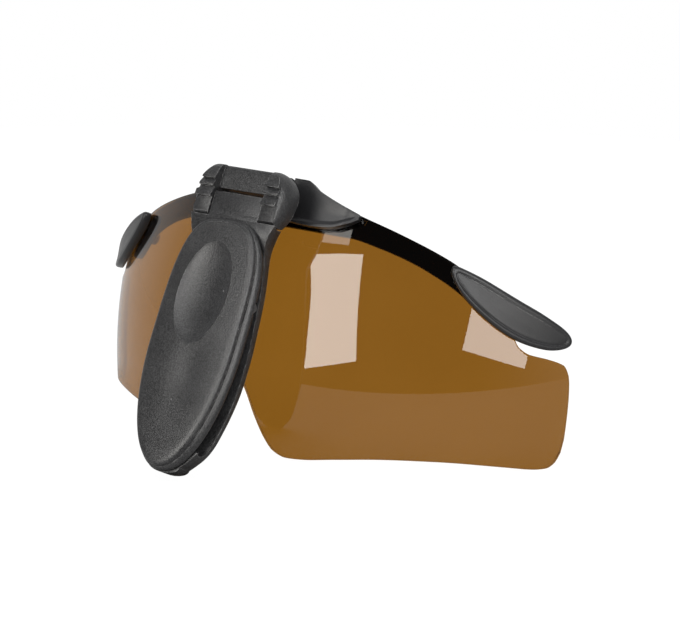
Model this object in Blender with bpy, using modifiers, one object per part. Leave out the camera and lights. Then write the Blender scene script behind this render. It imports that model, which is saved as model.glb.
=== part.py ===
"""Flip-up sun shield that clips to a cap brim: a spring clip, a friction hinge and a wrapped lens.

Metres, Z up. The object stands as an A-frame, the lens folded against the clip:
the clip tip and the two outer corners of the lens are its feet. X runs across the lens,
-Y is the paddle side. Dimensions below are in millimetres.
"""

import math

import bmesh
import bpy
import numpy as np
from mathutils import Matrix, Vector

MM = 0.001
GAP = 0.3                      # clearance kept between neighbouring pieces

# where the clip frame's origin (front plane, hinge end) sits in the world
HINGE_Y = -4.4
HINGE_Z = 63.35
CLIP_TILT = 27.5               # lean of the clip from vertical, degrees
LENS_TILT = 16.2               # lean of the lens from vertical, degrees
LENS_APEX = (0.0, 4.94, -27.47)  # foremost point of the lens, from the clip origin

# clip: s runs down the clip from the hinge end, n points out of the paddle
PADDLE_TOP = 6.6
PADDLE_TIP = 67.3
PADDLE_MIDDLE = 36.0
PADDLE_HALF_WIDTH = 13.2
PADDLE_THICK = 3.2
PADDLE_LIP_THICK = 1.4         # at the hinge end, where it lies over the base
DIMPLE_CENTRE = (-0.4, 24.75)
DIMPLE_HALF = (7.2, 12.2)
DIMPLE_LEAN = 1.5              # degrees
DIMPLE_DEPTH = 1.7
BASE_FACE = -1.7               # front plane of the base at the hinge end
BASE_HALF_WIDTH = [(5.0, 12.8), (8.8, 11.4), (12.4, 10.6), (16.0, 11.0), (19.5, 11.6), (23.0, 12.1),
                   (30.0, 12.6), (37.0, 12.95), (41.0, 12.9), (45.0, 12.7), (48.0, 12.3), (52.0, 11.5),
                   (55.4, 10.6), (58.0, 9.8), (60.6, 8.6), (62.0, 7.7), (63.5, 6.4), (65.2, 4.7)]
BASE_TIP = 67.2
SLOT_ROOT = 61.6
TONGUE_HALF_WIDTH = 7.1
RIB_AT = 25.8
RIB_HALF_LENGTH = 12.3
TIP_PIVOT = (67.0, -3.35)

# hinge
AXIS_S = 2.7
AXIS_N = -3.8
BARREL_RADIUS = 2.5
PIN_RADIUS = 1.0
PIN_HALF_LENGTH = 10.9
EAR_INNER = 7.4
EAR_OUTER = 13.0
EAR_FOOT = 3.75                # radius of the ear's foot about the hinge
EAR_SWEEP = 4.05               # radius swept clear in the base shoulders

# wrapped lens and the pieces that follow its surface: a = arc length across, v = height
RADIUS_ACROSS = 84.6
RADIUS_DOWN = 120.0
LENS_THICK = 1.4
LENS_HALF_ARC = 82.9
LENS_BOTTOM = [(0.0, -18.1), (2.4, -21.7), (5.0, -26.5), (8.5, -31.7), (11.0, -34.0), (14.5, -35.0),
               (18.5, -34.7), (28.0, -33.0), (39.0, -31.0), (49.0, -29.6), (58.0, -28.6), (69.0, -27.8),
               (76.5, -27.3), (80.3, -26.5), (82.2, -24.7), (82.9, -22.3)]
LENS_TOP = [(0.0, 29.6), (8.0, 29.4), (14.0, 27.3), (24.0, 24.5), (35.0, 21.7), (47.5, 17.7), (53.0, 15.0),
            (58.0, 11.4), (62.0, 7.4), (65.0, 3.4), (67.0, 0.6), (70.0, -0.7), (75.0, -1.1),
            (78.6, -1.8), (80.5, -4.2), (81.5, -8.5), (82.5, -15.6), (82.9, -19.0)]
BAR_END = 62.0
BAR_THICK = 2.2
BAR_BOTTOM = [(0.0, 19.3), (22.0, 19.2), (30.0, 18.0), (38.0, 16.1), (46.0, 13.2), (51.5, 10.5),
              (57.0, 6.6), (62.0, 4.4)]
BAR_TOP = [(0.0, 29.8), (8.0, 29.6), (14.0, 27.5), (24.0, 24.7), (35.0, 21.9), (47.5, 17.9), (54.0, 15.0),
           (58.0, 13.2), (62.0, 11.4)]
WING_ROOT = 6.2
WING_TIP = 24.8
WING_TOP = [(6.2, 30.0), (10.0, 29.9), (13.4, 28.1), (19.4, 25.8), (24.8, 24.1)]
WING_BOTTOM = [(6.2, 20.0), (13.2, 19.6), (18.3, 20.0), (22.6, 21.6), (24.8, 22.9)]
WING_THICK = 2.6
PAD_START = 48.3
PAD_END = 79.2
PAD_CENTRE = [(48.3, 15.7), (51.3, 13.4), (56.7, 10.4), (62.0, 7.9), (66.0, 6.4), (70.0, 5.3),
              (74.0, 4.4), (79.2, 3.7)]
PAD_HALF_WIDTH = 4.5
PAD_THICK = 2.1
SCREW_RADIUS = 0.8
SCREW_HEAD = 1.7

FINISH = {
    "clip": (0.075, 0.075, 0.08, 1.0),
    "trim": (0.05, 0.05, 0.052, 1.0),
    "bar": (0.02, 0.02, 0.022, 1.0),
    "lens": (0.30, 0.16, 0.05, 0.85),
    "steel": (0.55, 0.55, 0.56, 1.0),
    "rubber": (0.03, 0.03, 0.03, 1.0),
}


def spline(stations, at):
    """Smooth curve through a few stations, without overshoot between level ones."""
    x = np.array([s[0] for s in stations])
    y = np.array([s[1] for s in stations])
    step = np.diff(x)
    slope = np.diff(y) / step
    tangent = np.zeros(len(x))
    tangent[0] = slope[0]
    tangent[-1] = slope[-1]
    for i in range(1, len(x) - 1):
        if slope[i - 1] * slope[i] > 0:
            tangent[i] = 2.0 * slope[i - 1] * slope[i] / (slope[i - 1] + slope[i])
    i = int(np.clip(np.searchsorted(x, at) - 1, 0, len(x) - 2))
    t = min(max((at - x[i]) / step[i], 0.0), 1.0)
    values = (2 * t**3 - 3 * t**2 + 1) * y[i] + (3 * t**2 - 2 * t**3) * y[i + 1]
    slopes = (t**3 - 2 * t**2 + t) * tangent[i] + (t**3 - t**2) * tangent[i + 1]
    return float(values + slopes * step[i])


def ease(low, high, value):
    """Smooth step from 0 at low to 1 at high."""
    t = min(max((value - low) / (high - low), 0.0), 1.0)
    return t * t * (3.0 - 2.0 * t)


def material(slot):
    mat = bpy.data.materials.get(slot)
    if mat is None:
        mat = bpy.data.materials.new(slot)
        mat.diffuse_color = FINISH[slot]
        mat.use_nodes = True
        mat.node_tree.nodes["Principled BSDF"].inputs["Base Color"].default_value = FINISH[slot]
    return mat


def clip_matrix():
    place = Matrix.Translation((0.0, HINGE_Y * MM, HINGE_Z * MM))
    return place @ Matrix.Rotation(math.radians(90.0 - CLIP_TILT), 4, "X")


def lens_matrix():
    x, y, z = LENS_APEX
    place = Matrix.Translation((x * MM, (HINGE_Y + y) * MM, (HINGE_Z + z) * MM))
    return place @ Matrix.Rotation(math.radians(-LENS_TILT), 4, "X")


def finish_object(name, bm, matrix, slot, cutter=False):
    """Turn a bmesh in millimetres into a named object placed in the world."""
    bmesh.ops.recalc_face_normals(bm, faces=bm.faces)
    bm.transform(matrix @ Matrix.Scale(MM, 4))
    mesh = bpy.data.meshes.new(name)
    bm.to_mesh(mesh)
    bm.free()
    ob = bpy.data.objects.new(name, mesh)
    if cutter:
        CUTTERS.objects.link(ob)
        ob.hide_render = True
        ob.display_type = "WIRE"
    else:
        bpy.context.scene.collection.objects.link(ob)
        mesh.materials.append(material(slot))
    return ob


def prism(outline, low, high, across):
    """Extrude a closed outline. across = "n": outline is (x, s); "x": outline is (s, n)."""
    bm = bmesh.new()
    ring = bmesh.ops.create_circle(bm, cap_ends=True, segments=len(outline), radius=1.0)["verts"]
    for vert, (u, v) in zip(ring, outline):
        vert.co = (u, -v, low) if across == "n" else (low, -u, v)
    top = bmesh.ops.extrude_face_region(bm, geom=bm.faces[:])["geom"]
    lift = Vector((0.0, 0.0, high - low)) if across == "n" else Vector((high - low, 0.0, 0.0))
    for item in top:
        if isinstance(item, bmesh.types.BMVert):
            item.co += lift
    return bm


def rod(radius, start, end, segments=24):
    """Cylinder between two points."""
    bm = bmesh.new()
    start = Vector(start)
    end = Vector(end)
    turn = (end - start).to_track_quat("Z", "Y").to_matrix().to_4x4()
    place = Matrix.Translation((start + end) / 2.0) @ turn
    bmesh.ops.create_cone(bm, cap_ends=True, segments=segments, radius1=radius, radius2=radius,
                          depth=(end - start).length, matrix=place)
    return bm


def boolean(ob, other, operation):
    """Live boolean with a cutter that stays in the file."""
    mod = ob.modifiers.new(operation.title(), "BOOLEAN")
    mod.object = other
    mod.operation = operation
    mod.solver = "EXACT"


def bevel(ob, width, segments=2, angle=35.0):
    mod = ob.modifiers.new("Bevel", "BEVEL")
    mod.width = width * MM
    mod.segments = segments
    mod.limit_method = "ANGLE"
    mod.angle_limit = math.radians(angle)
    mod.harden_normals = False


def shell_point(a, v, off):
    """Point on the wrapped lens surface, off = height above its outer face."""
    theta = a / RADIUS_ACROSS
    phi = math.asin(v / RADIUS_DOWN)
    reach = RADIUS_ACROSS - RADIUS_DOWN + (RADIUS_DOWN + off) * math.cos(phi)
    height = (RADIUS_DOWN + off) * math.sin(phi)
    return Vector((reach * math.sin(theta), RADIUS_ACROSS - reach * math.cos(theta), height))


def shell_strip(name, columns, rows, low, high, outer, thick, slot, round_over):
    """Strip lying on the lens surface between two edges, thickened inwards from outer."""
    bm = bmesh.new()
    bmesh.ops.create_grid(bm, x_segments=len(columns) - 1, y_segments=rows, size=0.5)
    for vert in bm.verts:
        a = columns[round((vert.co.x + 0.5) * (len(columns) - 1))]
        t = vert.co.y + 0.5
        v = low(a) * (1.0 - t) + high(a) * t
        vert.co = shell_point(a, v, outer)
    ob = finish_object(name, bm, lens_matrix(), slot)
    centre = lens_matrix() @ (Vector((0.0, RADIUS_ACROSS, 0.0)) * MM)
    face = ob.data.polygons[len(ob.data.polygons) // 2]
    outward = (face.center - centre).dot(face.normal) > 0.0
    mod = ob.modifiers.new("Solidify", "SOLIDIFY")
    mod.thickness = thick * MM
    mod.offset = -1.0 if outward else 1.0
    if round_over:
        bevel(ob, round_over, 2, 50.0)
    return ob


def pillow(name, segments, rings, shape, matrix, slot):
    """Closed rounded body: a ball whose points are moved by shape(p, q, level)."""
    bm = bmesh.new()
    bmesh.ops.create_uvsphere(bm, u_segments=segments, v_segments=rings, radius=1.0)
    for vert in bm.verts:
        level = math.asin(max(-1.0, min(1.0, vert.co.z))) / (math.pi / 2.0)
        vert.co = shape(vert.co.x, vert.co.y, level)
    return finish_object(name, bm, matrix, slot)


def rim_profile(level, low, high):
    """Radius and height along a pillow's section: flat below, rounded over at the top."""
    levels = [-1.0, -0.5, -0.3, -0.2, 0.05, 0.2, 0.35, 0.5, 1.0]
    radii = [0.0, 0.75, 0.97, 1.0, 1.0, 0.992, 0.965, 0.93, 0.0]
    heights = [0.0, 0.0, 0.0, 0.12, 0.6, 0.8, 0.93, 1.0, 1.0]
    radius = float(np.interp(level, levels, radii))
    height = float(np.interp(level, levels, heights))
    return radius, low + (high - low) * height


def paddle_face(x, s):
    """Front of the paddle: a shallow crown, a thumb dimple and a hollow below it."""
    along = (s - 37.0) / 30.0
    crown = 0.9 * (1.0 - (x / PADDLE_HALF_WIDTH) ** 2) * (1.0 - 0.6 * along * along)
    lean = math.radians(DIMPLE_LEAN)
    dx = x - DIMPLE_CENTRE[0]
    ds = s - DIMPLE_CENTRE[1]
    p = (dx * math.cos(lean) + ds * math.sin(lean)) / DIMPLE_HALF[0]
    q = (ds * math.cos(lean) - dx * math.sin(lean)) / DIMPLE_HALF[1]
    r = math.hypot(p, q)
    dimple = DIMPLE_DEPTH * (1.0 - r * r) ** 0.8 if r < 1.0 else 0.0
    hollow = 0.5 * math.exp(-(((x - 2.0) / 4.5) ** 2) - ((s - 44.0) / 8.0) ** 2)
    return crown - dimple - hollow


def paddle_outline(angle):
    """Egg-shaped plan of the paddle, squarer at the hinge end."""
    c = math.cos(angle)
    d = math.sin(angle)
    power = 3.2 if d > 0 else 2.05
    reach = PADDLE_MIDDLE - PADDLE_TOP if d > 0 else PADDLE_TIP - PADDLE_MIDDLE
    r = (abs(c) ** power + abs(d) ** power) ** (-1.0 / power)
    return PADDLE_HALF_WIDTH * r * c, PADDLE_MIDDLE - reach * r * d


def paddle_under(s):
    """Underside of the paddle: thin over the base at the hinge end, full depth below."""
    return -PADDLE_LIP_THICK - (PADDLE_THICK - PADDLE_LIP_THICK) * ease(9.2, 15.5, s)


def build_paddle():
    levels = [-0.3, -0.2, -0.08, 0.05, 0.15, 0.22, 0.3, 0.38, 0.5]
    inset = [0.5, 0.15, 0.0, 0.1, 0.5, 0.95, 1.35, 1.6, 1.9]
    rise = [0.0, 0.05, 0.2, 0.42, 0.62, 0.72, 0.86, 0.95, 1.0]

    def shape(p, q, level):
        angle = math.atan2(q, p)
        ox, os = paddle_outline(angle)
        reach = math.hypot(ox, os - PADDLE_MIDDLE)
        flange = 1.0 - (0.7 if q > 0 else 0.3) * math.sin(angle) ** 2
        spread = 1.0 - float(np.interp(level, levels, inset)) * flange / reach
        if level > levels[-1]:
            spread *= (1.0 - level) / (1.0 - levels[-1])
        if level < levels[0]:
            spread *= ((level + 1.0) / (levels[0] + 1.0)) ** 0.6
        if math.hypot(p, q) < 1e-6:
            spread = 0.0
        x = ox * spread
        s = PADDLE_MIDDLE + (os - PADDLE_MIDDLE) * spread
        height = float(np.interp(level, levels, rise))
        n = paddle_under(s) * (1.0 - height)
        if level > 0.3:
            n += paddle_face(x, s) * min(1.0, (1.0 - spread) / 0.2)
        return x, -s, n

    paddle = pillow("clip_paddle", 56, 26, shape, clip_matrix(), "clip")
    start = RIB_AT - 1.5
    end = RIB_AT + 1.5
    groove = prism([(-14.5, start), (14.5, start), (14.5, end), (-14.5, end)], -4.2, -2.4, "n")
    boolean(paddle, finish_object("rib_groove", groove, clip_matrix(), None, True), "DIFFERENCE")


def base_face(s):
    """Front plane of the base: it drops under the paddle, then falls away towards the slot root."""
    return BASE_FACE - 2.1 * ease(8.6, 16.0, s) - 0.055 * max(s - 8.0, 0.0)


def base_plan():
    """Plan of the base: tongue, shoulders, waist and rounded tip."""
    edge = [(spline(BASE_HALF_WIDTH, s), s) for s in np.linspace(5.0, 65.2, 42)]
    for k in range(1, 6):
        turn = math.pi / 2.0 * k / 5.0
        edge.append((4.7 * math.cos(turn), 65.2 + (BASE_TIP - 65.2) * math.sin(turn)))
    plan = [(-TONGUE_HALF_WIDTH, -3.0), (TONGUE_HALF_WIDTH, -3.0), (TONGUE_HALF_WIDTH, 5.0)] + edge
    plan += [(-x, s) for x, s in reversed(edge[:-1])]
    plan.append((-TONGUE_HALF_WIDTH, 5.0))
    return plan


def base_side(fine):
    """Side view of the base, hinge barrel included."""
    side = [(0.2, AXIS_N), (0.2, BASE_FACE), (8.6, BASE_FACE)]
    side += [(s, base_face(s)) for s in (9.6, 10.8, 12.0, 13.4, 15.0, 16.4)]
    middle = (base_face(60.0) - PADDLE_THICK - GAP) / 2.0
    radius = middle - base_face(60.0)
    for k in range(fine + 1):
        turn = math.radians(-90.0 + 140.0 * k / fine)
        side.append((SLOT_ROOT - radius + radius * math.cos(turn), middle + radius * math.sin(turn)))
    side.append((side[-1][0], -PADDLE_THICK - GAP))
    side += [(70.0, -PADDLE_THICK - GAP), (70.0, -6.4), (66.4, -7.5), (60.0, -7.8), (31.0, -6.9),
             (17.0, -6.4), (12.0, -6.0), (8.5, -5.3), (6.2, -4.95)]
    for k in range(fine + 1):
        turn = math.radians(-28.0 - 142.0 * k / fine)
        side.append((AXIS_S + BARREL_RADIUS * math.cos(turn), AXIS_N + BARREL_RADIUS * math.sin(turn)))
    return side


def build_base():
    base = finish_object("clip_base", prism(base_side(6), -16.0, 16.0, "x"), clip_matrix(), "clip")
    cutter = finish_object("base_plan", prism(base_plan(), -14.0, 4.0, "n"), clip_matrix(), None, True)
    boolean(base, cutter, "INTERSECT")
    for sign, side_name in ((-1.0, "left"), (1.0, "right")):
        start = (sign * (TONGUE_HALF_WIDTH + 0.01), -AXIS_S, AXIS_N)
        end = (sign * 17.0, -AXIS_S, AXIS_N)
        sweep = rod(EAR_SWEEP, start, end, 48)
        sweep = finish_object("sweep_" + side_name, sweep, clip_matrix(), None, True)
        boolean(base, sweep, "DIFFERENCE")
    bore = rod(PIN_RADIUS + GAP, (-9.0, -AXIS_S, AXIS_N), (9.0, -AXIS_S, AXIS_N))
    boolean(base, finish_object("base_bore", bore, clip_matrix(), None, True), "DIFFERENCE")


def build_rib():
    """Grip strip set in the paddle: a flat back, and a ridge that stops just above the base."""
    crest = base_face(RIB_AT) + GAP
    outline = [(RIB_AT - 1.2, -2.7), (RIB_AT + 1.2, -2.7), (RIB_AT + 1.2, -3.4), (RIB_AT + 0.25, crest),
               (RIB_AT - 0.25, crest), (RIB_AT - 1.2, -3.4)]
    rib = prism(outline, -RIB_HALF_LENGTH, RIB_HALF_LENGTH, "x")
    finish_object("grip_rib", rib, clip_matrix(), "rubber")


def ear_outline():
    """Side of one yoke ear: a foot concentric with the hinge, three grip steps, then a rounded crown."""
    outline = []
    for k in range(6):
        turn = math.radians(-20.0 + 60.8 * k / 5.0)
        outline.append((AXIS_S + EAR_FOOT * math.cos(turn), AXIS_N + EAR_FOOT * math.sin(turn)))
    outline += [(1.95, -1.35), (1.95, -0.5), (1.5, -0.45), (-0.6, -1.3), (-0.6, -0.4), (-1.05, -0.35),
                (-2.5, -1.15), (-2.5, -0.4), (-2.95, -0.4)]
    outline += [(-5.5, -1.3), (-6.4, -2.3), (-6.7, -3.6), (-6.3, -5.2), (-5.0, -6.4), (-3.0, -7.1),
                (-1.0, -7.2), (1.0, -6.95), (3.0, -6.35), (4.9, -5.7)]
    return outline


def crown_corner(sign):
    """What the rounded outer corner of an ear leaves out, as an (x, s) outline."""
    corner = []
    for k in range(9):
        turn = math.pi / 2.0 * k / 8.0
        corner.append((sign * (8.2 + 4.9 * math.sin(turn)), -0.5 - 6.3 * math.cos(turn)))
    return corner + [(sign * 14.0, -0.5), (sign * 14.0, -8.0), (sign * 8.2, -8.0)]


def build_yoke():
    frame = clip_matrix()
    yoke = finish_object("yoke", prism(ear_outline(), EAR_INNER, EAR_OUTER, "x"), frame, "clip")
    bevel(yoke, 0.25, 2, 45.0)
    other = prism(ear_outline(), -EAR_OUTER, -EAR_INNER, "x")
    other = finish_object("yoke_left_ear", other, frame, None, True)
    bevel(other, 0.25, 2, 45.0)
    boolean(yoke, other, "UNION")
    for sign, side in ((-1.0, "left"), (1.0, "right")):
        corner = prism(crown_corner(sign), -9.0, 1.0, "n")
        corner = finish_object("crown_" + side, corner, frame, None, True)
        boolean(yoke, corner, "DIFFERENCE")
    web = [(-0.9, -3.0), (-6.2, -3.0), (-6.7, -3.6), (-6.7, -4.6), (-6.0, -5.4), (-0.9, -5.4)]
    web = finish_object("yoke_web", prism(web, -EAR_INNER - 0.8, EAR_INNER + 0.8, "x"), frame, None, True)
    boolean(yoke, web, "UNION")
    arm = [(-1.6, -4.8), (-5.8, -4.8), (-6.6, -9.0), (-7.0, -11.4), (-7.0, -12.6), (1.2, -12.6),
           (0.4, -10.8), (-1.2, -8.6)]
    arm = finish_object("yoke_arm", prism(arm, -5.6, 5.6, "x"), frame, None, True)
    boolean(yoke, arm, "UNION")
    block = shell_box(-5.8, 5.8, 20.2, 29.7, GAP, 3.2, 8, 4)
    boolean(yoke, finish_object("yoke_block", block, lens_matrix(), None, True), "UNION")
    for sign, side in ((-1.0, "left"), (1.0, "right")):
        bore = rod(PIN_RADIUS + GAP, (sign * 6.6, -AXIS_S, AXIS_N), (sign * 11.2, -AXIS_S, AXIS_N))
        boolean(yoke, finish_object("ear_bore_" + side, bore, frame, None, True), "DIFFERENCE")
        drill(yoke, sign * 3.2, 24.8, -0.5, 2.2, SCREW_RADIUS + GAP, "yoke_drill_" + side)


def shell_box(a0, a1, v0, v1, low, high, across, up):
    """Block bounded by two offsets of the lens surface."""
    bm = bmesh.new()
    bmesh.ops.create_grid(bm, x_segments=across, y_segments=up, size=0.5)
    base = bm.verts[:]
    spots = [(v.co.x + 0.5, v.co.y + 0.5) for v in base]
    lifted = bmesh.ops.extrude_face_region(bm, geom=bm.faces[:])["geom"]
    raised = [item for item in lifted if isinstance(item, bmesh.types.BMVert)]
    for vert in raised:
        spot = (vert.co.x + 0.5, vert.co.y + 0.5)
        vert.co = shell_point(a0 + (a1 - a0) * spot[0], v0 + (v1 - v0) * spot[1], high)
    for vert, spot in zip(base, spots):
        vert.co = shell_point(a0 + (a1 - a0) * spot[0], v0 + (v1 - v0) * spot[1], low)
    return bm


def drill(ob, a, v, start, end, radius, name):
    """Screw hole square to the lens surface at (a, v)."""
    hole = rod(radius, shell_point(a, v, start), shell_point(a, v, end), 16)
    boolean(ob, finish_object(name, hole, lens_matrix(), None, True), "DIFFERENCE")


def screw(name, a, v, seat, end):
    """Pan-head screw driven from behind, its head resting on the back of the bar."""
    stations = [(0.0, seat - 1.5), (SCREW_HEAD * 0.6, seat - 1.45), (SCREW_HEAD * 0.93, seat - 1.1),
                (SCREW_HEAD, seat - 0.6), (SCREW_HEAD, seat), (SCREW_RADIUS, seat),
                (SCREW_RADIUS, end - 0.3), (SCREW_RADIUS - 0.3, end), (0.0, end)]
    bm = bmesh.new()
    profile = [bm.verts.new((radius, 0.0, height)) for radius, height in stations]
    edges = [bm.edges.new(pair) for pair in zip(profile[:-1], profile[1:])]
    bmesh.ops.spin(bm, geom=profile + edges, cent=(0, 0, 0), axis=(0, 0, 1), angle=math.tau, steps=16)
    bmesh.ops.remove_doubles(bm, verts=bm.verts, dist=1e-4)
    out = (shell_point(a, v, 1.0) - shell_point(a, v, 0.0)).normalized()
    place = Matrix.Translation(shell_point(a, v, 0.0)) @ out.to_track_quat("Z", "Y").to_matrix().to_4x4()
    place = lens_matrix() @ scaled_place(place)
    ob = finish_object(name, bm, place, "steel")
    slot = bmesh.new()
    bmesh.ops.create_cube(slot, size=1.0)
    slot.transform(Matrix.Translation((0.0, 0.0, seat - 1.5)) @ Matrix.Diagonal((2.2, 0.45, 1.2, 1.0)))
    boolean(ob, finish_object(name + "_slot", slot, place, None, True), "DIFFERENCE")


def scaled_place(place):
    """Placement whose translation is in millimetres, ready for a metre matrix."""
    moved = place.copy()
    moved.translation = place.translation * MM
    return moved


def build_lens():
    columns = []
    for t in np.linspace(-1.0, 1.0, 69):
        crowded = 0.55 * t + 0.45 * math.sin(t * math.pi / 2.0)      # closer together at the ends
        columns.append(LENS_HALF_ARC * crowded)
    lens = shell_strip("lens_shield", columns, 6, lambda a: spline(LENS_BOTTOM, abs(a)),
                       lambda a: spline(LENS_TOP, abs(a)), 0.0, LENS_THICK, "lens", 0.0)
    for name, a, v in SCREWS:
        drill(lens, a, v, -LENS_THICK - 0.6, 0.6, SCREW_RADIUS + GAP, name + "_lens_hole")


def build_bar():
    columns = list(np.linspace(-BAR_END, BAR_END, 49))
    outer = -LENS_THICK - GAP
    bar = shell_strip("brow_bar", columns, 3, lambda a: spline(BAR_BOTTOM, abs(a)),
                      lambda a: spline(BAR_TOP, abs(a)), outer, BAR_THICK, "bar", 0.0)
    for name, a, v in SCREWS:
        drill(bar, a, v, outer - BAR_THICK - 0.6, outer + 0.6, SCREW_RADIUS + GAP, name + "_bar_hole")


def build_wing(sign, side):
    columns = sorted(sign * a for a in np.linspace(WING_ROOT, WING_TIP, 13))
    wing = shell_strip("bridge_wing_" + side, columns, 3, lambda a: spline(WING_BOTTOM, abs(a)),
                       lambda a: spline(WING_TOP, abs(a)), GAP + WING_THICK, WING_THICK, "trim", 0.5)
    drill(wing, sign * 12.5, 23.6, -0.5, 1.8, SCREW_RADIUS + GAP, "wing_drill_" + side)


def build_pad(sign, side):
    middle = (PAD_START + PAD_END) / 2.0
    half = (PAD_END - PAD_START) / 2.0

    def shape(p, q, level):
        radius = math.hypot(p, q)
        spread, height = rim_profile(level, GAP, GAP + PAD_THICK)
        if radius < 1e-6:
            spread = 0.0
            radius = 1.0
        along = p / radius * spread
        across = q / radius * spread
        a = middle + half * along
        v = spline(PAD_CENTRE, a) + PAD_HALF_WIDTH * across
        return shell_point(sign * a, v, height)

    pad = pillow("end_pad_" + side, 40, 14, shape, lens_matrix(), "trim")
    drill(pad, sign * 55.5, 10.8, -0.5, 1.8, SCREW_RADIUS + GAP, "pad_drill_" + side)


SCREWS = [("yoke_screw_left", -3.2, 24.8), ("yoke_screw_right", 3.2, 24.8),
          ("wing_screw_left", -12.5, 23.6), ("wing_screw_right", 12.5, 23.6),
          ("pad_screw_left", -55.5, 10.8), ("pad_screw_right", 55.5, 10.8)]

for old in list(bpy.data.objects):
    bpy.data.objects.remove(old, do_unlink=True)
CUTTERS = bpy.data.collections.new("cutters")
bpy.context.scene.collection.children.link(CUTTERS)

build_base()
build_paddle()
build_rib()
pin = rod(PIN_RADIUS, (-PIN_HALF_LENGTH, -AXIS_S, AXIS_N), (PIN_HALF_LENGTH, -AXIS_S, AXIS_N))
finish_object("hinge_pin", pin, clip_matrix(), "steel")
build_yoke()
build_lens()
build_bar()
for sign, side in ((-1.0, "left"), (1.0, "right")):
    build_wing(sign, side)
    build_pad(sign, side)
for name, a, v in SCREWS:
    screw(name, a, v, -LENS_THICK - BAR_THICK - 2.0 * GAP, 1.6)
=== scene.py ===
"""Looks for the flip-up sun shield with a cap-brim clip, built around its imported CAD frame.

Lengths in the geometry code are millimetres in two local frames, the clip's and the lens's, and
each piece is placed in the world in metres. X runs across the lens, -Y is the paddle side.
"""

import math

import bmesh
import bpy
import numpy as np
from mathutils import Matrix, Vector


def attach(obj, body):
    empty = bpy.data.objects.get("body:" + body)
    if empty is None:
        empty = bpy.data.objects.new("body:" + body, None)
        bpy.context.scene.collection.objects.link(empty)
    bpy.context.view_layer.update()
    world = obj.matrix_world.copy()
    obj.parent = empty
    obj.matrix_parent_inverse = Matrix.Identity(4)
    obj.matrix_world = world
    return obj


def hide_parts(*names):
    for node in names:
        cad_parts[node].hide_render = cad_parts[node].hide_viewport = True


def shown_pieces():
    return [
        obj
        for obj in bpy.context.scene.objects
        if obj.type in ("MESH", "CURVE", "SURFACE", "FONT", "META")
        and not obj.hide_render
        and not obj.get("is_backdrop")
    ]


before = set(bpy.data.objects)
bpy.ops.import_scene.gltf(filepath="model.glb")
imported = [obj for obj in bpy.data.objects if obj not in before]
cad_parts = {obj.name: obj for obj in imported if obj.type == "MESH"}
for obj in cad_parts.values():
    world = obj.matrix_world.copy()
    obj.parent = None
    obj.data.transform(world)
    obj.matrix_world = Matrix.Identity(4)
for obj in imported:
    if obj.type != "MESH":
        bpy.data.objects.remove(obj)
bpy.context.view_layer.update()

MM = 0.001
GAP = 0.3                      # clearance between neighbouring pieces

# the two local frames
HINGE_Y = -4.4
HINGE_Z = 63.35
CLIP_TILT = 27.5
LENS_TILT = 16.2
LENS_APEX = (0.0, 4.94, -27.47)

# clip: s runs down the clip from the hinge end, n points out of the paddle. PADDLE_TIP and PAD_END
# stop a hair short of the frame's, so that the finer surfaces stay inside it.
PADDLE_TOP = 6.6
PADDLE_TIP = 67.05
PADDLE_MIDDLE = 36.0
PADDLE_HALF_WIDTH = 13.2
PADDLE_THICK = 3.2
PADDLE_LIP_THICK = 1.4         # at the hinge end, where it lies over the base
DIMPLE_CENTRE = (-0.4, 24.75)
DIMPLE_HALF = (7.2, 12.2)
DIMPLE_LEAN = math.radians(1.5)
DIMPLE_DEPTH = 1.7
CROWN_RISE = 0.9               # of the paddle's face over its edge
CROWN_CENTRE = 37.0
CROWN_HALF_LENGTH = 30.0
HOLLOW_CENTRE = (2.0, 44.0)    # of the faint hollow below the dimple
HOLLOW_HALF = (4.5, 8.0)
HOLLOW_DEPTH = 0.5
BASE_FACE = -1.7               # front plane of the base at the hinge end
BASE_HALF_WIDTH = [(5.0, 12.8), (8.8, 11.4), (12.4, 10.6), (16.0, 11.0), (19.5, 11.6), (23.0, 12.1),
                   (30.0, 12.6), (37.0, 12.95), (41.0, 12.9), (45.0, 12.7), (48.0, 12.3), (52.0, 11.5),
                   (55.4, 10.6), (58.0, 9.8), (60.6, 8.6), (62.0, 7.7), (63.5, 6.4), (65.2, 4.7)]
BASE_TIP = 67.2
SLOT_ROOT = 61.6
RIB_AT = 25.8
TONGUE_HALF_WIDTH = 7.1

# hinge
AXIS_S = 2.7
AXIS_N = -3.8
BARREL_RADIUS = 2.5
PIN_RADIUS = 1.0
EAR_INNER = 7.4
EAR_OUTER = 13.0
EAR_FOOT = 3.75                # radius of the ear's foot about the hinge
EAR_SWEEP = 4.05               # radius swept clear in the base shoulders
EAR_CORNER = (8.2, -0.5)       # middle (x, s) of the ear's rounded outer corner
EAR_CORNER_REACH = (4.9, 6.3)
YOKE_BLOCK = (-5.8, 5.8, 20.2, 29.7)

# lens and the pieces that follow its surface: a = arc length across, v = height
RADIUS_ACROSS = 84.6
RADIUS_DOWN = 120.0
LENS_THICK = 1.4
LENS_HALF_ARC = 82.9
LENS_BOTTOM = [(0.0, -18.1), (2.4, -21.7), (5.0, -26.5), (8.5, -31.7), (11.0, -34.0), (14.5, -35.0),
               (18.5, -34.7), (28.0, -33.0), (39.0, -31.0), (49.0, -29.6), (58.0, -28.6), (69.0, -27.8),
               (76.5, -27.3), (80.3, -26.5), (82.2, -24.7), (82.9, -22.3)]
LENS_TOP = [(0.0, 29.6), (8.0, 29.4), (14.0, 27.3), (24.0, 24.5), (35.0, 21.7), (47.5, 17.7), (53.0, 15.0),
            (58.0, 11.4), (62.0, 7.4), (65.0, 3.4), (67.0, 0.6), (70.0, -0.7), (75.0, -1.1),
            (78.6, -1.8), (80.5, -4.2), (81.5, -8.5), (82.5, -15.6), (82.9, -19.0)]
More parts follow.
